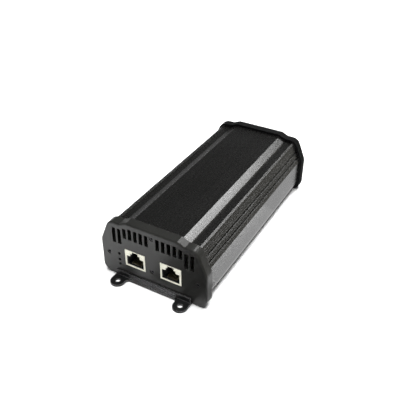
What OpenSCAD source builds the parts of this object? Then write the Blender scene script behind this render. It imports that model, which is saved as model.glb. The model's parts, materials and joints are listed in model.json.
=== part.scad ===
// Mains-powered power-over-Ethernet injector in an extruded aluminium case.
// X runs across the front, Y from the front (network sockets) to the rear
// (mains inlet), Z up. The origin is the bottom centre of the whole object.

/* [Case] */
// Length of the case over both end bezels
case_length = 170; // [168:1:186]
// Width of the end bezels
bezel_width = 82.8; // [82.4:0.2:84]
// Height of the end bezels at their raised middle
bezel_height = 47.8; // [47.6:0.2:49.6]
// Depth of each end bezel
bezel_depth = 7.2; // [7:0.2:10]
// Thickness of a bezel's panel
panel_t = 3; // [2.6:0.1:3.4]
// Radius of the bezel's outer edge
edge_r = 1.4; // [1:0.2:2.4]
// Wall of the extruded shells
wall = 1.8; // [1.6:0.1:2]
// Height of the line where the two shells meet
seam_z = 31.8; // [31:0.2:33]

/* [Front panel] */
// Distance between vent slots
slot_pitch = 4.3; // [4.2:0.05:4.4]
// Width of a vent slot
slot_w = 2.8; // [1.8:0.1:3]
// Distance of each network socket from the middle of the pair
jack_x = 14; // [13.5:0.25:14.5]
// Sideways shift of sockets, vents and indicators
panel_shift = 0.5; // [0:0.1:0.8]
// Diameter of an indicator lens
lens_d = 2.2; // [1.8:0.1:2.4]

/* [Mounting brackets] */
// Distance between the two ear holes of a bracket
ear_spacing = 50; // [46:1:50]
// Distance of the ear holes from the bezel's face
ear_reach = 6.4; // [6.2:0.2:9]
// Diameter of the ear holes
ear_hole_d = 3.6; // [3.2:0.1:5]
// Thickness of the bracket plate
plate_t = 1.6; // [1.4:0.1:1.8]

/* [Circuit board] */
// Thickness of the circuit board
board_t = 1.6; // [1.4:0.1:1.6]
// Diameter of the main storage capacitor
bulk_d = 22; // [18:1:22]

/* [Hidden] */
$fn = 48;

hl = case_length / 2;            // half length, to the bezel faces
hw = bezel_width / 2;            // half width of the bezels
se = hl - panel_t;               // the shells end against the panels
sw = hw - 2.2;                   // half width of the shells
zb = plate_t;                    // underside of the shells
zt = bezel_height - 2.3;         // top of the shells
zs = zt - 2.3;                   // shoulders of the shells
zk = 28.2;                       // knee: upright side below, leaning side above
bs = bezel_height - 2.4;         // shoulders of the bezels
bk = 27.8;                       // knee of the bezels
ridge = [sw - 6.54, zs];         // outer corner where side meets shoulder
lean = (ridge - [sw, zk]) / norm(ridge - [sw, zk]);
out = [lean[1], -lean[0]];       // outward normal of the leaning side
board_z = 12.6;                  // top of the circuit board
board_b = board_z - board_t;     // its underside
board_x = sw - 2.3;              // its half width
board_f = -hl + 3.4;             // its front edge
board_r = hl - 27;               // its rear edge
tight = 1.25;                    // radius of a hole that takes a thread
shank = 1.2;                     // radius of a screw in it
head_r = 1.75;                   // screw heads in the panels
jack_w = 16;
jack_h = 13.4;
jack_f = -hl - 0.3;              // front faces of the sockets
jack_b = jack_f + 16;            // back faces of the sockets
floor_z = board_z + 1.3;         // floor inside a socket
lead_pitch = 1.016;
pivot_y = -hl + 1.7;             // where the contact springs bend
pivot_z = floor_z + 0.62;
inlet_z = 22;
// Screws of the panels: top middle and both sides
screw_at = [[panel_shift, zt - 2.5], [sw - 4.4, 18.8], [4.4 - sw, 18.8]];
// Vent slots: number from the middle, low end, high end
slots = [for (n = [1:4]) [n, 34.9, 43.9], [5, 34.9, 42.8], [6, 28.9, 41.2], [7, 28.9, 41.2]];
lights = [20, 15, 11];           // heights of the indicators
lights_x = panel_shift - 27;
jacks = [panel_shift - jack_x, panel_shift + jack_x];
anchor_z = 14.9;
// Side grooves: depth, and how far they reach above and below their middle
groove_d = 2.2;
groove_up = 0.75;
groove_dn = 0.55;
thick = 3.4;                     // wall behind the grooves
bead = 1.7;                      // bright bead along the shoulder

// ---------- geometry helpers ----------
function unit(v) = v / norm(v);
function back(v) = [for (i = [len(v) - 1:-1:0]) v[i]];
function flip(v) = [for (p = v) [-p[0], p[1]]];
// Arc that rounds the corner q between p and s
function corner(p, q, s, r, n) = let (a = unit(p - q), b = unit(s - q), h = acos(a * b) / 2,
    c = q + unit(a + b) * r / sin(h), u = q + a * r / tan(h) - c, w = q + b * r / tan(h) - c,
    a0 = atan2(u[1], u[0]), d = atan2(w[1], w[0]) - a0, e = d > 180 ? d - 360 : d < -180 ? d + 360 : d)
    [for (i = [0:n]) c + r * [cos(a0 + e * i / n), sin(a0 + e * i / n)]];
function xy(p) = [p[0], p[1]];
// Outline with each corner [x, y, radius] rounded
function rounded(v, n = 6) = [for (i = [0:len(v) - 1]) let (q = v[i])
    each q[2] == 0 ? [xy(q)] : corner(xy(v[(i + len(v) - 1) % len(v)]), xy(q), xy(v[(i + 1) % len(v)]), q[2], n)];
// Both halves of an outline, with its heights taken from the top of the circuit board
function raise(v) = [for (p = concat(v, flip(back(v)))) p + [0, board_z]];
// Outline moved inwards by d (outwards if negative)
function inset(v, d) = [for (i = [0:len(v) - 1]) let (q = v[i],
    e = unit(q - v[(i + len(v) - 1) % len(v)]), f = unit(v[(i + 1) % len(v)] - q),
    m = [-e[1], e[0]], n = [-f[1], f[0]]) q + d * (m + n) / (1 + m * n)];
// Point on the leaning side: s along it from the knee, d below its surface
function side(s, d = 0) = [sw, zk] + s * lean - d * out;
function side_at(z) = (z - zk) / lean[1];

module along_y(y0, y1) { translate([0, y1, 0]) rotate([90, 0, 0]) linear_extrude(height = y1 - y0) children(); }
module box(x0, x1, y0, y1, z0, z1) { translate([x0, y0, z0]) cube([x1 - x0, y1 - y0, z1 - z0]); }
// Cylinder along Y from y0 to y1
module rod(x, z, r, y0, y1) { translate([x, y0, z]) rotate([-90, 0, 0]) cylinder(r = r, h = y1 - y0); }
module rear() { mirror([0, 1, 0]) children(); }

// ---------- outlines ----------
bezel_half = [[hw, 0, 7], [hw, bk, 10], [hw - 7.3, bs, 7], [25, bs, 0], [19.4, bezel_height, 0]];
bezel_outline = rounded(concat(bezel_half, [for (p = back(bezel_half)) [-p[0], p[1], p[2]]]));
// Plain outline of the assembled shells, which the bezels fit around
bead_a = ridge - lean * bead * 0.392 / lean[1];
bead_b = [bead_a[0] - bead * 0.92, zs];
shell_half = [[sw, zb, 8], [sw, zk, 0], [bead_a[0], bead_a[1], 0.4], [bead_b[0], bead_b[1], 0.3], [24.6, zs, 0], [19.2, zt, 0]];
shell_outline = rounded(concat(shell_half, [for (p = back(shell_half)) [-p[0], p[1], p[2]]]));
// The opening for a network plug, about the socket's own centre line
// ...and its cream lip, a little wider
lip_outline = raise([[6.75, 1.1], [6.75, 8.9], [3.9, 8.9], [3.9, 11], [2.5, 11], [2.5, 12.9]]);
plug_half = [[6.15, 1.3], [6.15, 8.6], [3.5, 8.6], [3.5, 11], [2.2, 11], [2.2, 12.9]];
plug_outline = raise(plug_half);
insert_outline = raise([[7.1, 0.5], [7.1, 9.4], [4.3, 9.4], [4.3, 12.9]]);

// Bezel blank: the outline with its outer edge rounded, face at y = -hl
module bezel_blank() {
    k = 5;
    n = len(bezel_outline);
    rings = concat([for (i = [0:k]) [edge_r * (1 - sin(90 * i / k)), edge_r * (1 - cos(90 * i / k))]], [[0, bezel_depth]]);
    points = [for (g = rings) each [for (p = inset(bezel_outline, g[0])) [p[0], g[1] - hl, p[1]]]];
    faces = concat([back([for (i = [0:n - 1]) i])],
        [for (j = [0:k]) each [for (i = [0:n - 1]) [j * n + i, j * n + (i + 1) % n, (j + 1) * n + (i + 1) % n, (j + 1) * n + i]]],
        [[for (i = [0:n - 1]) (k + 1) * n + i]]);
    polyhedron(points = points, faces = faces, convexity = 6);
}
module vents() {
    for (s = slots, m = [-1, 1])
        translate([panel_shift + m * s[0] * slot_pitch, 0, 0]) box(-slot_w / 2, slot_w / 2, -hl - 1, -se + 1, s[1], s[2]);
}
// What both bezels share: the pocket for the shells, the vents, the screw holes, the bracket's passage
module bezel_common() {
    difference() {
        bezel_blank();
        along_y(-se, -hl + bezel_depth + 1) polygon(inset(shell_outline, -0.12));
        vents();
        for (p = screw_at) {
            rod(p[0], p[1], 1.35, -hl - 1, -se + 1);
            rod(p[0], p[1], head_r + 0.1, -hl - 1, -hl + 1.7);
        }
        box(-30.8, 30.8, -hl - 1, -hl + bezel_depth + 1, -1, plate_t);
    }
}
// Screw whose head sits in a panel at y = -hl, going in along +Y
module panel_screw(x, z, length, seat = 1.7) {
    difference() {
        union() {
            rod(x, z, head_r, -hl + 0.45, -hl + seat);
            rod(x, z, shank, -hl + seat - 0.1, -hl + seat + length);
        }
        translate([x, -hl - 0.1, z]) rotate([-90, 0, 0]) cylinder(d = 1.9, h = 1.5, $fn = 6);
    }
}

// ---------- case ----------
// V-shaped die line across the leaning side at s
function line(s, w, d) = [side(s - w), side(s, d), side(s + w)];
module upper_shell() {
    m = side_at(seam_z);
    g = side_at(36.1);
    low = m + 2.4;
    outer = concat([side(m + groove_up)], line(m + 1.75, 0.3, 0.25), line(m + 2.6, 0.3, 0.25),
        [side(g - groove_dn - 0.75), side(g - groove_dn, 0.68), side(g - groove_dn, groove_d), side(g + groove_up, groove_d), side(g + groove_up)],
        [for (i = [0:2]) each line(g + 1.95 + 1.55 * i, 0.35, 0.3)],
        corner(side(8), bead_a, bead_b, 0.4, 3), corner(bead_a, bead_b, bead_b - [1, 0], 0.3, 3), [[bead_b[0] - 0.3, zs - 0.6],
        [25.3, zs - 0.6], [24.6, zs], [19.2, zt]]);
    si = (zs - 0.6 - wall - zk + wall * out[1]) / lean[1];
    inner = [[18.9, zt - wall], [24.2, zs - 0.6 - wall], side(si, wall), side(g + 3, wall), side(g + 1.8, thick), side(low + 0.1, thick),
        side(low + 0.1, groove_d - 0.05), side(m + groove_up, groove_d - 0.05)];
    color("#2b2b2d") along_y(-se, se) difference() {
        union() {
            polygon(concat(outer, flip(back(outer)), flip(back(inner)), inner));
            intersection() {
                translate(screw_at[0]) circle(r = 2.9);
                translate([-4, zt - 8]) square([8, 7.95]);
            }
        }
        translate(screw_at[0]) circle(r = tight);
    }
}
module lower_shell() {
    m = side_at(seam_z);
    low = m + 2.4;
    outer = concat(corner([0, zb], [sw, zb], [sw, 20], 8, 8), [[sw, zk], side(m - groove_dn - 0.75), side(m - groove_dn, 0.68),
        side(m - groove_dn, groove_d + 0.05), side(low, groove_d + 0.05)]);
    inner = concat([side(low, thick), side(m - 1.2, thick), side(m - 2.4, wall), [sw - wall, zk - 0.4]],
        corner([sw - wall, 20], [sw - wall, zb + 2], [0, zb + 2], 6.4, 6));
    color("#2d2d2f") difference() {
        along_y(-se, se) difference() {
            union() {
                polygon(concat(outer, inner, flip(back(inner)), flip(back(outer))));
                for (m = [0, 1]) mirror([m, 0]) {
                    translate(screw_at[1]) circle(r = 2.9);
                    translate([board_x - 1.6, board_b - 1.5]) square([3.4, 1.5]);
                    translate([board_x - 1.6, board_z + 0.1]) square([3.4, 1.3]);
                }
            }
            for (p = [screw_at[1], screw_at[2]]) translate(p) circle(r = tight);
        }
        for (x = [-20, 20], y = [-hl + 11, hl - 11]) translate([x, y, 0]) cylinder(r = tight, h = 8);
        translate([26, hl - 16, 0]) cylinder(r = tight, h = 8);
    }
}
module front_bezel() {
    color("#3a3a3c") difference() {
        bezel_common();
        for (x = jacks)
            box(x - jack_w / 2 - 0.1, x + jack_w / 2 + 0.1, -hl - 1, -se + 1, board_z - 0.1, board_z + jack_h + 0.1);
        for (z = lights) rod(lights_x, z, lens_d / 2 + 0.1, -hl - 1, -se + 1);
        rod(0, anchor_z, 1.35, -hl - 1, -se + 1);
        rod(0, anchor_z, head_r + 0.1, -hl - 1, -hl + 1.7);
    }
}
module rear_bezel() {
    color("#3a3a3c") rear() difference() {
        bezel_common();
        box(-13.8, 13.8, -hl - 1, -se + 1, inlet_z - 10, inlet_z + 10);
        for (x = [-20, 20]) rod(x, inlet_z, 1.7, -hl - 1, -se + 1);
    }
}
module bracket() {
    ear = ear_spacing / 2;
    r = 5.2;
    y0 = -hl - 2.6;              // front edge between the ears
    ye = -hl - ear_reach;
    half = [[ear + r, -hl + 15, 2], [ear + r, ye - r, r - 0.05], [ear - r, ye - r, r - 0.05], [ear - r, y0, 2.4]];
    plan = rounded(concat(flat3(back(half), 1), flat3(half, -1)), 8);
    difference() {
        union() {
            linear_extrude(height = plate_t) polygon(plan);
            // lip up the panel's face, stepped between the ears
            box(-29.6, 29.6, -hl - 1.1, -hl, plate_t - 0.1, 5.4);
            box(-18.6, 18.6, -hl - 1.6, -hl - 1, plate_t - 0.1, 4.1);
            box(-18.2, 18.2, -hl - 2.1, -hl - 1.5, plate_t - 0.1, 2.8);
        }
        for (x = [-ear, ear]) translate([x, ye, -1]) cylinder(d = ear_hole_d, h = plate_t + 2);
        for (x = [-20, 20]) translate([x, -hl + 11, 0]) {
            translate([0, 0, -1]) cylinder(r = 1.6, h = plate_t + 2);
            translate([0, 0, -0.01]) cylinder(r1 = 3, r2 = 1.6, h = 1.3);
        }
    }
}
function flat3(v, m) = [for (p = v) [m * p[0], p[1], p[2]]];
module front_bracket() { color("#1d1d1f") bracket(); }
module rear_bracket() { color("#1d1d1f") rear() bracket(); }
module front_bezel_screws() { color("#18181a") for (p = screw_at) panel_screw(p[0], p[1], 9); }
module rear_bezel_screws() { color("#18181a") rear() for (p = screw_at) panel_screw(p[0], p[1], 9); }
module bracket_screws() {
    color("#18181a") for (x = [-20, 20], y = [-hl + 11, hl - 11]) translate([x, y, 0]) difference() {
        union() {
            translate([0, 0, 0.1]) cylinder(r1 = 2.7, r2 = 1.5, h = 1.1);
            translate([0, 0, 1.1]) cylinder(r = shank, h = zb + 2 - 1.1);
        }
        translate([0, 0, -0.5]) cylinder(d = 2, h = 1.3, $fn = 6);
    }
}

// ---------- network sockets ----------
module jack_housing(x) {
    color("#efeedd") translate([x, 0, 0]) difference() {
        box(-jack_w / 2, jack_w / 2, jack_f, jack_b, board_z, board_z + jack_h);
        along_y(jack_f - 1, jack_f + 0.6) polygon(lip_outline);
        along_y(jack_f + 0.5, jack_b + 1) polygon(insert_outline);
    }
}
// Black contact carrier, pushed into the housing from behind
module jack_insert(x) {
    color("#151517") translate([x, 0, 0]) difference() {
        along_y(jack_f + 0.5, jack_b) polygon(insert_outline);
        along_y(jack_f, jack_b - 4) union() {
            polygon(plug_outline);
            translate([-2.2, board_z + 11]) square([4.4, 3]);
        }
        box(-4.2, 4.2, jack_b - 5, jack_b + 1, floor_z, floor_z + 0.5);
    }
}
// Fixed leads: along the socket's floor, out at the back and down through the board
module jack_leads(x) {
    color("#c9a44a") for (i = [0:7]) translate([x + (i - 3.5) * lead_pitch - 0.23, 0, 0]) {
        box(0, 0.46, pivot_y - 0.2, jack_b + 0.1, floor_z, floor_z + 0.3);
        box(0, 0.46, jack_b + 0.05, jack_b + 0.45, board_b - 1.2, floor_z + 0.3);
    }
}
// Contact springs: rise towards the back from the bend near the mouth
module jack_springs(x) {
    color("#d8b451") for (i = [0:7]) translate([x + (i - 3.5) * lead_pitch - 0.23, pivot_y, pivot_z]) rotate([18, 0, 0]) {
        translate([0, 0, -0.15]) cube([0.46, 9.6, 0.3]);
        rotate([0, 90, 0]) cylinder(r = 0.3, h = 0.46, $fn = 24);
    }
}
module jack_left_housing() { jack_housing(jacks[0]); }
module jack_right_housing() { jack_housing(jacks[1]); }
module jack_left_insert() { jack_insert(jacks[0]); }
module jack_right_insert() { jack_insert(jacks[1]); }
module jack_left_leads() { jack_leads(jacks[0]); }
module jack_right_leads() { jack_leads(jacks[1]); }
module jack_left_springs() { jack_springs(jacks[0]); }
module jack_right_springs() { jack_springs(jacks[1]); }

// ---------- indicators ----------
module indicator_block() {
    color("#1a1a1a") box(lights_x - 2.2, lights_x + 2.2, -se + 0.1, -se + 6, 9.2, 22.7);
}
module indicator_lenses() {
    color("#3c5a3e") for (z = lights) {
        rod(lights_x, z, lens_d / 2, -hl + 1.2, -se + 0.1);
        translate([lights_x, -hl + 0.85, z]) rotate([-90, 0, 0]) cylinder(r1 = lens_d / 2 - 0.35, r2 = lens_d / 2, h = 0.35);
    }
}

// ---------- circuit board ----------
module circuit_board() {
    color("#1f5a3a") difference() {
        box(-board_x, board_x, board_f, board_r, board_b, board_z);
        box(lights_x - 2.4, lights_x + 2.4, board_f - 1, -se + 6.2, board_b - 1, board_z + 1);
        for (x = jacks, i = [0:7])
            translate([x + (i - 3.5) * lead_pitch, jack_b + 0.25, board_b - 1]) cylinder(r = 0.4, h = board_t + 2, $fn = 16);
    }
}
module insulation_sheet() { color("#d9d2b8") box(-30.4, 30.4, -se + 1, board_r - 2, zb + 2, zb + 2.4); }
module board_anchor() {
    color("#b8b8bc") difference() {
        box(-3.2, 3.2, -se, -se + 6, board_z, board_z + 5.4);
        rod(0, anchor_z, tight, -se - 1, -se + 7);
    }
}
module anchor_screw() { color("#18181a") panel_screw(0, anchor_z, 5); }
module data_transformers() {
    color("#202022") for (x = jacks) {
        box(x - 8, x + 8, -hl + 19, -hl + 31, board_z + 0.4, board_z + 6);
        for (i = [0:7], s = [-1, 1]) box(x - 6.6 + i * 1.8, x - 6 + i * 1.8, -hl + 25 + s * 6.7 - 0.75, -hl + 25 + s * 6.7 + 0.75, board_z, board_z + 1);
    }
}
module control_chips() {
    color("#26262a") {
        box(-15, -5, -hl + 36, -hl + 46, board_z, board_z + 1.5);
        box(-20, -15.4, -hl + 48, -hl + 54, board_z, board_z + 1.5);
        box(6, 12, 6, 10, board_z, board_z + 1.6);
    }
}

// ---------- power parts ----------
tx = 2;       // transformer centre
ty = -18;
module transformer_core() {
    color("#4a4a50") translate([tx, ty, 0]) difference() {
        box(-17, 17, -7, 7, 14.6, 39.4);
        for (m = [-1, 1]) box(min(m * 5, m * 12.6), max(m * 5, m * 12.6), -8, 8, 19.4, 34.6);
    }
}
module transformer_bobbin() {
    color("#303034") translate([tx, ty, 0]) {
        difference() {
            union() {
                translate([0, 0, 19.5]) cylinder(r = 12.2, h = 1);
                translate([0, 0, 33.5]) cylinder(r = 12.2, h = 1);
                box(-6.2, 6.2, -8.2, 8.2, 19.5, 34.5);
            }
            box(-5.1, 5.1, -7.1, 7.1, 19, 37);
        }
        for (m = [-1, 1]) difference() {
            box(-12, 12, min(m * 7.2, m * 11.4), max(m * 7.2, m * 11.4), board_z, 19.5);
            box(-10, 10, min(m * 8.4, m * 12), max(m * 8.4, m * 12), 14.6, 18.4);
        }
    }
}
module transformer_winding() {
    color("#c9a227") translate([tx, ty, 20.6]) difference() {
        cylinder(r = 11.9, h = 12.8);
        translate([-6.3, -8.3, -1]) cube([12.6, 16.6, 16]);
    }
}
module bulk_capacitor() {
    color("#2a3350") translate([-20, 12, board_z]) {
        difference() {
            cylinder(d = bulk_d, h = 25);
            translate([0, 0, 1.6]) rotate_extrude() translate([bulk_d / 2 + 0.3, 0]) circle(r = 0.9);
        }
    }
}
module output_capacitors() {
    color("#2a3350") for (y = [-hl + 42, -hl + 54]) translate([26, y, board_z]) difference() {
        cylinder(r = 5, h = 20);
        translate([0, 0, 1.4]) rotate_extrude() translate([5.2, 0]) circle(r = 0.6);
    }
}
module output_inductor() {
    color("#54545a") translate([8, -hl + 41, board_z]) difference() {
        cylinder(r = 7, h = 13);
        translate([0, 0, 2]) rotate_extrude() translate([5.4, 0]) square([3, 9]);
    }
}
module sink(x0, x1, y0, y1) {
    difference() {
        union() {
            box(x0, x1, y0, y1, board_z, 37);
            for (i = [0:3]) box(x1 > 0 ? x1 - 0.1 : x0 - 3, x1 > 0 ? x1 + 3 : x0 + 0.1, y0 + 1 + i * (y1 - y0 - 3) / 3, y0 + 2.2 + i * (y1 - y0 - 3) / 3, board_z + 3, 37);
        }
        translate([(x0 + x1) / 2 - 3, (y0 + y1) / 2, 30]) rotate([0, 90, 0]) cylinder(r = tight, h = 6);
    }
}
module primary_heat_sink() { color("#a9abb0") sink(26, 28.4, -6, 34); }
module secondary_heat_sink() { color("#a9abb0") sink(-28.4, -26, -40, -8); }
// Flat power package against a heat sink, legs down to the board
module package(x0, x1, yc) {
    difference() {
        box(x0, x1, yc - 5, yc + 5, 18, 33);
        translate([(x0 + x1) / 2 - 4, yc, 30]) rotate([0, 90, 0]) cylinder(r = 1.6, h = 8);
    }
    for (i = [-1:1]) box((x0 + x1) / 2 - 0.3, (x0 + x1) / 2 + 0.3, yc + i * 2.54 - 0.4, yc + i * 2.54 + 0.4, board_z, 18.1);
}
module power_transistor() { color("#242426") package(21.5, 26, 14); }
module output_rectifier() { color("#242426") package(-26, -21.5, -24); }
module heat_sink_screws() {
    color("#b0b0b4") {
        translate([0, 14, 30]) rotate([0, 90, 0]) {
            translate([0, 0, 19.3]) cylinder(r = 2.7, h = 2.2);
            translate([0, 0, 21.4]) cylinder(r = shank, h = 6.8);
        }
        translate([0, -24, 30]) rotate([0, -90, 0]) {
            translate([0, 0, 19.3]) cylinder(r = 2.7, h = 2.2);
            translate([0, 0, 21.4]) cylinder(r = shank, h = 6.8);
        }
    }
}
module bridge_rectifier() {
    color("#222224") {
        box(-6, 14, 36, 40, board_z + 4, board_z + 18);
        for (i = [0:3]) box(-4.4 + i * 5, -3.4 + i * 5, 37.6, 38.4, board_z, board_z + 4.1);
    }
}
module filter_capacitor() { color("#c8b13a") box(14, 31, 45, 53, board_z, board_z + 14); }
module filter_choke_core() {
    color("#2f4f3c") translate([-27, 38, board_z + 10.6]) rotate([0, 90, 0]) difference() {
        cylinder(r = 8, h = 8);
        translate([0, 0, -1]) cylinder(r = 4.6, h = 10);
    }
}
// Copper turns over two arcs of the toroid
module filter_choke_winding() {
    color("#b87333") translate([-27, 38, board_z + 10.6]) rotate([0, 90, 0]) difference() {
        translate([0, 0, -1.3]) cylinder(r = 9.4, h = 10.6);
        translate([0, 0, -2]) cylinder(r = 3.2, h = 12);
        translate([0, 0, -0.1]) difference() {
            cylinder(r = 8.1, h = 8.2);
            translate([0, 0, -1]) cylinder(r = 4.5, h = 11);
        }
        translate([-12, -3.4, -3]) cube([24, 6.8, 14]);
    }
}
module choke_base() { color("#303034") box(-26.8, -19.2, 35, 41, board_z, board_z + 2.6); }
module fuse_tube() { color("#dfe6e6") translate([-31, 53, board_z + 4.6]) rotate([0, 90, 0]) difference() {
        translate([0, 0, 4.2]) cylinder(r = 2.5, h = 11.6);
        translate([0, 0, 4.1]) cylinder(r = 1.8, h = 12);
    } }
module fuse_caps() {
    color("#c5c5c8") translate([-31, 53, board_z + 4.6]) rotate([0, 90, 0]) for (z = [0, 15.8]) translate([0, 0, z])
        cylinder(r = 2.6, h = 4.2);
}
module fuse_clips() {
    color("#b9b9be") for (x = [-31, -15.2]) translate([x, 53, board_z]) difference() {
        box(0.4, 3.8, -3.4, 3.4, 0, 7.4);
        translate([-1, 0, 4.6]) rotate([0, 90, 0]) cylinder(r = 2.65, h = 6);
        box(-1, 6, -2, 2, 4.6, 9);
        box(-1, 6, -2.4, 2.4, 0.6, 1.6);
    }
}

// ---------- mains input ----------
module terminal_header() {
    color("#2f6f46") difference() {
        box(-10.5, 10.5, ir - 40, ir - 31, board_z, board_z + 10);
        for (p = [blade_at[0], blade_at[1]]) {
            rod(p[0], inlet_z + p[1], 1.5, ir - 37, ir - 30);
            translate([p[0], ir - 36.5, board_z + 3]) cylinder(r = 1.9, h = 8);
        }
    }
}
ir = hl;                          // seat of the inlet's flange on the rear panel
inlet_plan = rounded([[13.6, -9.8, 1.5], [13.6, 4.6, 0], [8.4, 9.8, 0], [-8.4, 9.8, 0], [-13.6, 4.6, 0], [-13.6, -9.8, 1.5]]);
inlet_hole = rounded([[12, -8.2, 1], [12, 4, 0], [7.8, 8.2, 0], [-7.8, 8.2, 0], [-12, 4, 0], [-12, -8.2, 1]]);
blade_at = [[-7, -2], [7, -2], [0, 2]];
module mains_inlet() {
    color("#161618") translate([0, 0, inlet_z]) difference() {
        union() {
            along_y(ir, ir + 2.6) difference() {
                polygon(rounded([[25, -11.2, 4], [25, 11.2, 4], [-25, 11.2, 4], [-25, -11.2, 4]]));
                for (x = [-20, 20]) translate([x, 0]) circle(r = 1.7);
            }
            along_y(ir - 16, ir + 0.1) polygon(inlet_plan);
        }
        along_y(ir - 13.4, ir + 3) polygon(inlet_hole);
        for (x = [-20, 20]) translate([x, ir + 1.3, 0]) rotate([-90, 0, 0]) cylinder(r1 = 1.7, r2 = 3.1, h = 1.4);
        for (p = blade_at) box(p[0] - 2.05, p[0] + 2.05, ir - 17, ir - 12, p[1] - 1.05, p[1] + 1.05);
    }
}
module inlet_blades() {
    color("#c9c9cc") translate([0, 0, inlet_z]) for (p = blade_at) {
        box(p[0] - 2, p[0] + 2, ir - 16.5, ir - 3.6, p[1] - 1, p[1] + 1);
        box(p[0] - 2, p[0] + 2, ir - 23.5, ir - 16.4, p[1] - 0.4, p[1] + 0.4);
    }
}
module inlet_screws() {
    color("#b4b4b8") for (x = [-20, 20]) translate([x, 0, inlet_z]) rotate([-90, 0, 0]) difference() {
        union() {
            translate([0, 0, ir + 1.45]) cylinder(r1 = 1.5, r2 = 2.75, h = 1.15);
            translate([0, 0, ir - 7]) cylinder(r = 1.45, h = 8.5);
        }
        box(-3, 3, -0.35, 0.35, ir + 1.9, ir + 3);
        box(-0.35, 0.35, -3, 3, ir + 1.9, ir + 3);
    }
}
module inlet_nuts() {
    color("#b4b4b8") for (x = [-20, 20]) translate([x, ir - 5.4, inlet_z]) rotate([-90, 0, 0]) difference() {
        cylinder(r = 3.1, h = 2.4, $fn = 6);
        translate([0, 0, -1]) cylinder(r = 1.5, h = 5);
    }
}
module blade_sleeves() {
    color("#b03030") translate([0, 0, inlet_z]) for (p = blade_at) difference() {
        box(p[0] - 3.1, p[0] + 3.1, ir - 27, ir - 17, p[1] - 1.5, p[1] + 1.5);
        box(p[0] - 2.05, p[0] + 2.05, ir - 24, ir - 16, p[1] - 0.45, p[1] + 0.45);
    }
}
// Round wire through a list of points
module wire(points, r) {
    for (i = [0:len(points) - 2]) let (v = points[i + 1] - points[i], l = norm(v))
        translate(points[i]) rotate([0, acos(v[2] / l), atan2(v[1], v[0])]) cylinder(r = r, h = l);
    for (i = [1:1:len(points) - 2]) translate(points[i]) sphere(r = r * 1.06);
}
module mains_leads() {
    color("#6a4a32") rod(blade_at[0][0], inlet_z + blade_at[0][1], 1.1, ir - 34, ir - 27);
    color("#3f6fb0") rod(blade_at[1][0], inlet_z + blade_at[1][1], 1.1, ir - 34, ir - 27);
}
module earth_lead() {
    color("#7fa03a") wire([[0, ir - 27, inlet_z + 2], [0, ir - 29.6, inlet_z + 2], [18, ir - 29, inlet_z + 5.6], [24, ir - 25.2, 20], [26, ir - 25.2, 8], [26, ir - 23, zb + 4.08], [26, ir - 19.6, zb + 4.08]], 1.1);
}
module earth_lug() {
    color("#c9c9cc") difference() {
        union() {
            translate([26, hl - 16, zb + 2]) cylinder(r = 3.6, h = 0.9);
            box(23.9, 28.1, hl - 23, hl - 18, zb + 2, zb + 2.9);
        }
        translate([26, hl - 16, 0]) cylinder(r = 1.6, h = 9);
    }
}
module earth_screw() {
    color("#b4b4b8") translate([26, hl - 16, zb + 2]) difference() {
        union() {
            translate([0, 0, 0.9]) cylinder(r = 2.8, h = 2);
            translate([0, 0, -1.6]) cylinder(r = shank, h = 2.6);
        }
        box(-4, 4, -0.4, 0.4, 2.1, 4);
    }
}

upper_shell();
lower_shell();
front_bezel();
rear_bezel();
front_bracket();
rear_bracket();
front_bezel_screws();
rear_bezel_screws();
bracket_screws();
jack_left_housing();
jack_right_housing();
jack_left_insert();
jack_right_insert();
jack_left_leads();
jack_right_leads();
jack_left_springs();
jack_right_springs();
indicator_block();
indicator_lenses();
circuit_board();
insulation_sheet();
board_anchor();
anchor_screw();
data_transformers();
control_chips();
transformer_core();
transformer_bobbin();
transformer_winding();
bulk_capacitor();
output_capacitors();
output_inductor();
primary_heat_sink();
power_transistor();
secondary_heat_sink();
output_rectifier();
heat_sink_screws();
bridge_rectifier();
filter_capacitor();
filter_choke_core();
filter_choke_winding();
choke_base();
fuse_tube();
fuse_caps();
fuse_clips();
terminal_header();
mains_inlet();
inlet_blades();
inlet_screws();
inlet_nuts();
blade_sleeves();
mains_leads();
earth_lead();
earth_lug();
earth_screw();
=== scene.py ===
"""Looks of the power-over-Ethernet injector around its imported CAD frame. Metres, Z up, front at -Y."""
import json
import math

import bpy
from mathutils import Matrix, Vector

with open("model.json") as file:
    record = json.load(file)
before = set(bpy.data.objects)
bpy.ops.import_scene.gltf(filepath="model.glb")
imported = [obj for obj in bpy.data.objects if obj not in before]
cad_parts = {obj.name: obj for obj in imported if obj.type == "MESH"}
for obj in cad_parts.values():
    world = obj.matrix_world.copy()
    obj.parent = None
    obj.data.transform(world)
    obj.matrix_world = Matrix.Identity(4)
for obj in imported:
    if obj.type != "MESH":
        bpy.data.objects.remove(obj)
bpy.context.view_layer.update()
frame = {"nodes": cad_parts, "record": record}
nodes = frame["nodes"]
MM = 0.001


# ---------------------------------------------------------------- camera
def make_camera():
    a, e, r = (math.radians(v) for v in (29.3616, 34.6352, 0.1912))
    back = Vector((math.sin(a) * math.cos(e), -math.cos(a) * math.cos(e), math.sin(e)))
    right = Vector((math.cos(a), math.sin(a), 0))
    up = back.cross(right)
    x = math.cos(r) * right + math.sin(r) * up
    y = -math.sin(r) * right + math.cos(r) * up
    data = bpy.data.cameras.new("camera")
    data.sensor_width = 36
    data.lens = 567.31 / 400 * 36
    data.clip_start, data.clip_end = 0.01, 40
    cam = bpy.data.objects.new("camera", data)
    bpy.context.scene.collection.objects.link(cam)
    at = (Vector((-3.706, -15.0, 30.331)) + back * 420.71 + 0.445 * x - 0.3 * y) * MM
    cam.matrix_world = Matrix.Translation(at) @ Matrix((x, y, back)).transposed().to_4x4()
    bpy.context.scene.camera = cam


make_camera()
bpy.context.scene.view_settings.view_transform = "Standard"


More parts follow.
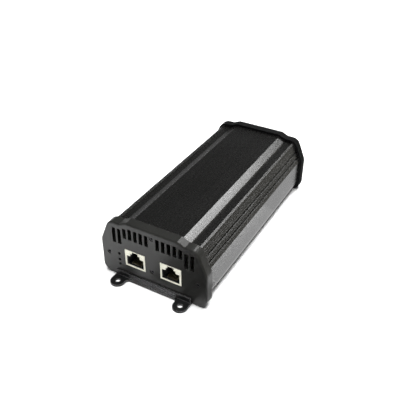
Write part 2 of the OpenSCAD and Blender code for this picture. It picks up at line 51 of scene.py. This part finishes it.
# ---------------------------------------------------------------- node helpers
class Net:
    """A small wrapper that builds a material's node tree."""

    def __init__(self, name):
        self.mat = bpy.data.materials.new(name)
        self.mat.use_nodes = True
        self.tree = self.mat.node_tree
        self.tree.nodes.clear()
        self.out = self.add("ShaderNodeOutputMaterial")
        self.bsdf = self.add("ShaderNodeBsdfPrincipled")
        self.link(self.bsdf.outputs[0], self.out.inputs["Surface"])
        self.coord = self.add("ShaderNodeTexCoord").outputs["Object"]
        self.height = None

    def add(self, kind, **values):
        n = self.tree.nodes.new(kind)
        for k, v in values.items():
            setattr(n, k, v)
        return n

    def link(self, a, b):
        self.tree.links.new(a, b)

    def feed(self, socket, value):
        if hasattr(value, "is_output"):
            self.link(value, socket)
        else:
            socket.default_value = value

    def math(self, op, a, b=0.0, clamp=False):
        n = self.add("ShaderNodeMath", operation=op, use_clamp=clamp)
        self.feed(n.inputs[0], a)
        self.feed(n.inputs[1], b)
        return n.outputs[0]

    def scaled(self, scale, turn=(0, 0, 0)):
        n = self.add("ShaderNodeMapping")
        self.link(self.coord, n.inputs["Vector"])
        n.inputs["Scale"].default_value = scale
        n.inputs["Rotation"].default_value = turn
        return n.outputs[0]

    def noise(self, scale, detail=3.0, rough=0.55, vector=None, distortion=0.0):
        n = self.add("ShaderNodeTexNoise")
        self.link(vector or self.coord, n.inputs["Vector"])
        n.inputs["Scale"].default_value = scale
        n.inputs["Detail"].default_value = detail
        n.inputs["Roughness"].default_value = rough
        n.inputs["Distortion"].default_value = distortion
        return n.outputs[0]

    def range(self, value, a, b, c, d, smooth=False):
        n = self.add("ShaderNodeMapRange", clamp=True)
        if smooth:
            n.interpolation_type = "SMOOTHSTEP"
        self.link(value, n.inputs["Value"])
        for s, v in zip(("From Min", "From Max", "To Min", "To Max"), (a, b, c, d)):
            n.inputs[s].default_value = v
        return n.outputs[0]

    def mix(self, factor, a, b):
        n = self.add("ShaderNodeMix", data_type="RGBA")
        self.feed(n.inputs["Factor"], factor)
        for s, v in ((n.inputs[6], a), (n.inputs[7], b)):
            if hasattr(v, "is_output"):
                self.link(v, s)
            else:
                s.default_value = (*v, 1.0)
        return n.outputs[2]

    def bump(self, height, strength, distance):
        n = self.add("ShaderNodeBump")
        n.inputs["Strength"].default_value = strength
        n.inputs["Distance"].default_value = distance
        self.link(height, n.inputs["Height"])
        if self.height is not None:
            self.link(self.height, n.inputs["Normal"])
        self.height = n.outputs[0]

    def edges(self, radius, low=0.0, high=0.25):
        """0 on flat areas to 1 on outer and inner edges within radius."""
        b = self.add("ShaderNodeBevel", samples=4)
        b.inputs["Radius"].default_value = radius
        g = self.add("ShaderNodeNewGeometry")
        d = self.add("ShaderNodeVectorMath", operation="DOT_PRODUCT")
        self.link(b.outputs[0], d.inputs[0])
        self.link(g.outputs["True Normal"], d.inputs[1])
        return self.range(self.math("SUBTRACT", 1.0, d.outputs["Value"]), low, high, 0.0, 1.0)

    def axis(self, name):
        n = self.add("ShaderNodeSeparateXYZ")
        self.link(self.coord, n.inputs[0])
        return n.outputs[name]

    def done(self, color, roughness, metallic=0.0, ior=1.5, specular=0.5, **more):
        b = self.bsdf
        if hasattr(color, "is_output"):
            self.link(color, b.inputs["Base Color"])
        else:
            b.inputs["Base Color"].default_value = (*color, 1.0)
        self.feed(b.inputs["Roughness"], roughness)
        b.inputs["Metallic"].default_value = metallic
        b.inputs["IOR"].default_value = ior
        b.inputs["Specular IOR Level"].default_value = specular
        for k, v in more.items():
            b.inputs[k.replace("_", " ")].default_value = v
        if self.height is not None:
            self.link(self.height, b.inputs["Normal"])
        return self.mat


# ---------------------------------------------------------------- materials
def shell():
    """Black anodised extrusion: blasted grain, faint die lines along the length, edges rubbed a little."""
    n = Net("shell_anodised")
    grain = n.noise(2600, 2.0, 0.6)
    coarse = n.noise(950, 2.0, 0.6)
    lines = n.noise(1.0, 3.0, 0.6, n.scaled((2600, 12, 2600)))
    broad = n.noise(28, 3.0, 0.5)
    tone = n.math("ADD", n.math("MULTIPLY", grain, 0.45), n.math("MULTIPLY", lines, 0.55))
    wear = n.edges(0.3 * MM, 0.03, 0.4)
    color = n.mix(n.range(tone, 0.35, 0.65, 0.0, 1.0), (0.0026, 0.0028, 0.0027), (0.0065, 0.0064, 0.006))
    color = n.mix(n.math("MULTIPLY", wear, n.range(broad, 0.45, 0.6, 0.08, 0.3)), color, (0.12, 0.12, 0.12))
    rough = n.math("ADD", n.range(coarse, 0.3, 0.7, 0.21, 0.33), n.range(broad, 0.3, 0.7, -0.02, 0.02))
    n.bump(coarse, 0.09, 0.00006)
    n.bump(grain, 0.16, 0.00004)
    n.bump(lines, 0.22, 0.00003)
    return n.done(color, rough, ior=1.6)


def painted(name, dark, light_, chip_and_highlight, rough, ior, grain_scale=1700, bump=0.3, rub_and_highlight=0.7):
    """Satin paint with a fine powder texture and slightly rubbed edges; the lighter edge colour is partly rubbed paint
    and partly painted highlight along the edges.
    """
    n = Net(name)
    grain = n.noise(grain_scale, 3.0, 0.6)
    broad = n.noise(26, 3.0, 0.5)
    wear = n.edges(0.4 * MM, 0.02, 0.3)
    color = n.mix(n.range(broad, 0.3, 0.7, 0.0, 1.0), dark, light_)
    color = n.mix(n.range(grain, 0.5, 0.75, 0.0, 0.3), color, tuple(1.6 * v for v in light_))
    # lighter colour on the edges: partly rubbed paint, partly painted highlight standing in for the light lines the
    # edges catch
    color = n.mix(n.math("MULTIPLY", wear, n.range(broad, 0.4, 0.62, 0.5 * rub_and_highlight, rub_and_highlight)), color, chip_and_highlight)
    n.bump(grain, bump, 0.00005)
    return n.done(color, n.range(grain, 0.3, 0.7, rough - 0.06, rough + 0.06), ior=ior)


def metal(name, a, b, rough, scale=900, stretch=None, bump=0.2, metallic=1.0):
    """Bare or plated metal with fine scratches and patches of dulling."""
    n = Net(name)
    fine = n.noise(scale, 3.0, 0.6, n.scaled(stretch) if stretch else None)
    if stretch:
        n.tree.nodes[-1].inputs["Scale"].default_value = 1.0
    broad = n.noise(60, 3.0, 0.5)
    color = n.mix(n.range(fine, 0.3, 0.7, 0.0, 1.0), a, b)
    color = n.mix(n.range(broad, 0.55, 0.75, 0.0, 0.3), color, tuple(v * 0.6 for v in a))
    r = n.math("ADD", n.range(fine, 0.3, 0.7, rough - 0.06, rough + 0.06), n.range(broad, 0.3, 0.7, -0.04, 0.05))
    n.bump(fine, bump, 0.00004)
    return n.done(color, r, metallic=metallic)


def plastic(name, a, b, rough, grain=1600, broad=40, bump=0.25, ior=1.5, wear=None, **more):
    """Moulded plastic, lacquer or insulation: spark-eroded grain and slow tone changes."""
    n = Net(name)
    g = n.noise(grain, 2.0, 0.55)
    w = n.noise(broad, 3.0, 0.5)
    color = n.mix(n.range(w, 0.3, 0.7, 0.0, 1.0), a, b)
    color = n.mix(n.range(g, 0.55, 0.8, 0.0, 0.25), color, tuple(min(1.0, v * 1.5) for v in b))
    if wear:
        color = n.mix(n.math("MULTIPLY", n.edges(0.2 * MM, 0.03, 0.4), 0.45), color, wear)
    r = n.math("ADD", n.range(g, 0.3, 0.7, rough - 0.05, rough + 0.05), n.range(w, 0.3, 0.7, -0.03, 0.03))
    n.bump(g, bump, 0.00004)
    return n.done(color, r, ior=ior, **more)


def winding(name, a, b, pitch, axis, rough=0.3):
    """Turns of wire or wraps of tape lying side by side along one axis."""
    n = Net(name)
    k = 2 * math.pi / pitch
    wave = n.math("SINE", n.math("MULTIPLY", n.axis(axis), k))
    h = n.range(wave, -1.0, 1.0, 0.0, 1.0)
    w = n.noise(220, 3.0, 0.6)
    color = n.mix(n.math("MULTIPLY", h, n.range(w, 0.3, 0.7, 0.7, 1.0)), a, b)
    n.bump(h, 0.6, pitch * 0.2)
    return n.done(color, n.range(w, 0.3, 0.7, rough - 0.06, rough + 0.08), ior=1.55, Coat_Weight=0.3)


def board():
    """Solder mask over copper areas: a patchwork of slightly different greens."""
    n = Net("board_green")
    v = n.add("ShaderNodeTexVoronoi", distance="CHEBYCHEV")
    n.link(n.coord, v.inputs["Vector"])
    v.inputs["Scale"].default_value = 150
    s = n.add("ShaderNodeSeparateColor")
    n.link(v.outputs["Color"], s.inputs[0])
    g = n.noise(1800, 2.0)
    color = n.mix(n.range(s.outputs[0], 0.45, 0.55, 0.0, 1.0), (0.012, 0.075, 0.035), (0.022, 0.12, 0.055))
    color = n.mix(n.range(g, 0.6, 0.8, 0.0, 0.3), color, (0.05, 0.17, 0.09))
    n.bump(s.outputs[0], 0.2, 0.00004)
    return n.done(color, n.range(g, 0.3, 0.7, 0.28, 0.4), ior=1.5)


def glass():
    n = Net("fuse_glass")
    g = n.noise(120, 2.0)
    color = n.mix(n.range(g, 0.3, 0.7, 0.0, 1.0), (0.85, 0.92, 0.92), (0.93, 0.97, 0.97))
    n.bump(g, 0.05, 0.00005)
    return n.done(color, n.range(g, 0.3, 0.7, 0.03, 0.08), ior=1.5, Transmission_Weight=0.9)


FINISH = {
    "shell_anodised": shell(),
    "bezel_satin": painted("bezel_satin", (0.008, 0.0082, 0.0076), (0.013, 0.0131, 0.012), (0.09, 0.09, 0.085), 0.38, 1.4),
    # rear bezel: a darker, matter copy of the front bezel's paint; the darker colour is painted shade on the rear end
    # of the case
    "bezel_black": painted("bezel_black", (0.004, 0.004, 0.0042), (0.007, 0.007, 0.0072), (0.07, 0.07, 0.07), 0.7, 1.1),
    # bracket: the pale edge colour at full strength is painted highlight, light lines along the lip and ear edges
    "bracket_black": painted("bracket_black", (0.005, 0.005, 0.0052), (0.009, 0.009, 0.0095), (0.42, 0.42, 0.43), 0.38, 1.5, 1500, 0.3, 1.0),
    "screw_black": metal("screw_black", (0.03, 0.03, 0.032), (0.06, 0.06, 0.062), 0.38, 1400, bump=0.3, metallic=0.6),
    "jack_cream": plastic("jack_cream", (0.66, 0.65, 0.54), (0.72, 0.71, 0.60), 0.42, 1500, 60, 0.12, 1.5),
    # contact colour kept far darker than gold plating: painted shade for the contacts deep inside the jack mouth
    "contact_gold": metal("contact_gold", (0.26, 0.22, 0.14), (0.36, 0.31, 0.2), 0.4, 1500),
    "black_plastic": plastic("black_plastic", (0.010, 0.010, 0.011), (0.017, 0.017, 0.018), 0.45, wear=(0.05, 0.05, 0.05)),
    "inlet_black": plastic("inlet_black", (0.012, 0.012, 0.0125), (0.02, 0.02, 0.0205), 0.5, 1300, 30, 0.4, wear=(0.06, 0.06, 0.06)),
    "lens": plastic("lens", (0.008, 0.012, 0.008), (0.014, 0.02, 0.013), 0.12, 500, 200, 0.05, 1.5, Coat_Weight=0.5),
    "board_green": board(),
    "sheet_film": plastic("sheet_film", (0.52, 0.48, 0.36), (0.6, 0.56, 0.43), 0.3, 900, 25, 0.15),
    "tinned_metal": metal("tinned_metal", (0.36, 0.36, 0.37), (0.5, 0.5, 0.51), 0.34, 1200),
    "ferrite": plastic("ferrite", (0.05, 0.05, 0.055), (0.085, 0.085, 0.09), 0.5, 1100, 50, 0.5),
    "winding_tape": winding("winding_tape", (0.42, 0.27, 0.02), (0.62, 0.42, 0.05), 2.5 * MM, "Z", 0.22),
    "capacitor_sleeve": plastic("capacitor_sleeve", (0.012, 0.018, 0.06), (0.02, 0.028, 0.085), 0.22, 700, 40, 0.1),
    "capacitor_yellow": plastic("capacitor_yellow", (0.55, 0.40, 0.05), (0.64, 0.48, 0.08), 0.4, 1300, 50, 0.25),
    "bare_aluminium": metal("bare_aluminium", (0.62, 0.63, 0.65), (0.78, 0.79, 0.8), 0.34, 1.0, (1600, 1600, 30)),
    "choke_green": plastic("choke_green", (0.02, 0.085, 0.035), (0.03, 0.11, 0.05), 0.35, 900, 60, 0.3),
    "copper": winding("copper", (0.28, 0.09, 0.025), (0.66, 0.28, 0.1), 0.9 * MM, "X", 0.25),
    "fuse_glass": glass(),
    "header_green": plastic("header_green", (0.02, 0.17, 0.06), (0.03, 0.22, 0.085), 0.42, 1300, 50, 0.25),
    "sleeve_red": plastic("sleeve_red", (0.38, 0.015, 0.015), (0.46, 0.025, 0.022), 0.35, 900, 60, 0.15),
    "lead_brown": plastic("lead_brown", (0.11, 0.045, 0.02), (0.15, 0.06, 0.028), 0.4, 900, 60, 0.15),
    "lead_green": plastic("lead_green", (0.14, 0.26, 0.03), (0.2, 0.34, 0.04), 0.4, 900, 60, 0.15),
}
for part in frame["record"]["subparts"]:
    o = nodes[part["node"]]
    if part["material_slot"] not in FINISH:
        raise RuntimeError("no finish for " + part["material_slot"])
    o.data.materials.clear()
    o.data.materials.append(FINISH[part["material_slot"]])


# ---------------------------------------------------------------- edges
def soften(name, width, segments=2, angle=40):
    """Small rounds on the hard edges of a carried-over node."""
    o = nodes[name]
    w = o.modifiers.new("weld", "WELD")
    w.merge_threshold = 0.000002
    b = o.modifiers.new("bevel", "BEVEL")
    b.width, b.segments = width, segments
    b.limit_method, b.angle_limit = "ANGLE", math.radians(angle)
    b.miter_outer = "MITER_ARC"
    b.use_clamp_overlap = True
    b.harden_normals = False


# ---------------------------------------------------------------- floor, light
def make_floor():
    n = Net("floor")
    g = n.noise(3.0, 3.0)
    color = n.mix(n.range(g, 0.3, 0.7, 0.0, 1.0), (0.84, 0.84, 0.84), (0.87, 0.87, 0.87))
    mat = n.done(color, n.range(g, 0.3, 0.7, 0.75, 0.85), specular=0.2)
    # clear from underneath, so that the underside can be looked at
    t = mat.node_tree
    see = t.nodes.new("ShaderNodeNewGeometry")
    clear = t.nodes.new("ShaderNodeBsdfTransparent")
    both = t.nodes.new("ShaderNodeMixShader")
    t.links.new(see.outputs["Backfacing"], both.inputs[0])
    t.links.new(n.bsdf.outputs[0], both.inputs[1])
    t.links.new(clear.outputs[0], both.inputs[2])
    t.links.new(both.outputs[0], n.out.inputs["Surface"])
    bpy.ops.mesh.primitive_plane_add(size=12, location=(0, 0, -0.05 * MM))
    o = bpy.context.object
    o.name = "floor"
    o.data.materials.append(mat)


def light(name, at, aim, size, radiance):
    """Rectangular softbox whose face has the given radiance."""
    data = bpy.data.lights.new(name, "AREA")
    data.shape = "RECTANGLE"
    data.size, data.size_y = size
    data.energy = radiance * math.pi * size[0] * size[1]
    o = bpy.data.objects.new(name, data)
    bpy.context.scene.collection.objects.link(o)
    o.location = at
    o.rotation_mode = "QUATERNION"
    o.rotation_quaternion = (Vector(aim) - Vector(at)).to_track_quat("-Z", "Y")
    return o


def make_world():
    w = bpy.data.worlds.new("world")
    bpy.context.scene.world = w
    w.use_nodes = True
    t = w.node_tree
    t.nodes.clear()
    out = t.nodes.new("ShaderNodeOutputWorld")
    bg = t.nodes.new("ShaderNodeBackground")
    co = t.nodes.new("ShaderNodeTexCoord")
    sep = t.nodes.new("ShaderNodeSeparateXYZ")
    ramp = t.nodes.new("ShaderNodeMapRange")
    ramp.interpolation_type = "SMOOTHSTEP"
    t.links.new(co.outputs["Generated"], sep.inputs[0])
    t.links.new(sep.outputs["Z"], ramp.inputs["Value"])
    for s, v in zip(("From Min", "From Max", "To Min", "To Max"), (0.05, 0.4, 0.85, 0.03)):
        ramp.inputs[s].default_value = v
    bg.inputs["Color"].default_value = (1, 1, 1, 1)
    t.links.new(ramp.outputs[0], bg.inputs["Strength"])
    t.links.new(bg.outputs[0], out.inputs["Surface"])


def glow(name, radiance, tint=(1, 1, 1)):
    mat = bpy.data.materials.new(name)
    mat.use_nodes = True
    t = mat.node_tree
    t.nodes.clear()
    e = t.nodes.new("ShaderNodeEmission")
    e.inputs["Color"].default_value = (*tint, 1)
    e.inputs["Strength"].default_value = radiance
    t.links.new(e.outputs[0], t.nodes.new("ShaderNodeOutputMaterial").inputs["Surface"])
    return mat


def make_backdrop():
    """Pale studio dome that only the view sees."""
    bpy.ops.mesh.primitive_uv_sphere_add(segments=48, ring_count=24, radius=1.4, location=(0, 0, 0))
    o = bpy.context.object
    o.name = "backdrop"
    o.data.materials.append(glow("backdrop", 1.0))
    o.visible_diffuse = o.visible_glossy = o.visible_shadow = o.visible_transmission = False


def card(name, corners, radiance, tint=(1, 1, 1)):
    """Flat card that only gloss sees: a reflector or a flag of a studio set-up. corners go round it, in mm."""
    mesh = bpy.data.meshes.new(name)
    mesh.from_pydata([Vector(c) * MM for c in corners], [], [tuple(range(len(corners)))])
    mesh.materials.append(glow(name, radiance, tint))
    o = bpy.data.objects.new(name, mesh)
    bpy.context.scene.collection.objects.link(o)
    o.visible_camera = o.visible_diffuse = o.visible_shadow = o.visible_transmission = False


for name in ("front_bracket", "rear_bracket"):
    soften(name, 0.25 * MM, 2, 35)
for name in ("jack_left_housing", "jack_right_housing"):
    soften(name, 0.12 * MM, 1, 35)

make_floor()
make_backdrop()
make_world()
top = light("overhead", (0, 0, 1.9), (0, 0, 0), (1.6, 1.6), 11.0)
top.visible_glossy = False
light("back_strip", (0.23, 1.0, 1.22), (0.0, 0.0, 0.05), (0.42, 0.76), 16.3)
warm = (1.0, 0.97, 0.86)
card("side_card", [(84, -300, 0), (84, 500, 0), (84, 500, 300), (84, -300, 300)], 0.42, warm)
card("left_card", [(-640, 60, 0), (-130, 780, 0), (-130, 780, 190), (-640, 60, 190)], 0.33)
card("front_card", [(-8, -220, 0.3), (80, -180, 0.3), (80, -93, 0.3), (-8, -93, 0.3)], 0.02, warm)
card("corner_card", [(-90, -84, 0.3), (-42, -84, 0.3), (-42, -30, 0.3), (-90, -30, 0.3)], 0.02)
card("foot_card", [(34, -58, 0.4), (54, -58, 0.4), (54, 40, 0.4), (34, 40, 0.4)], 1.38)
card("foot_card_rear", [(34, 40, 0.4), (66, 40, 0.4), (66, 150, 0.4), (34, 150, 0.4)], 1.22)
card("bezel_card", [(44, -95, 0.5), (62, -95, 0.5), (62, -60, 0.5), (44, -60, 0.5)], 0.62)
card("front_top_card", [(-700, -500, 500), (100, -800, 500), (100, -800, 900), (-700, -500, 900)], 0.35)
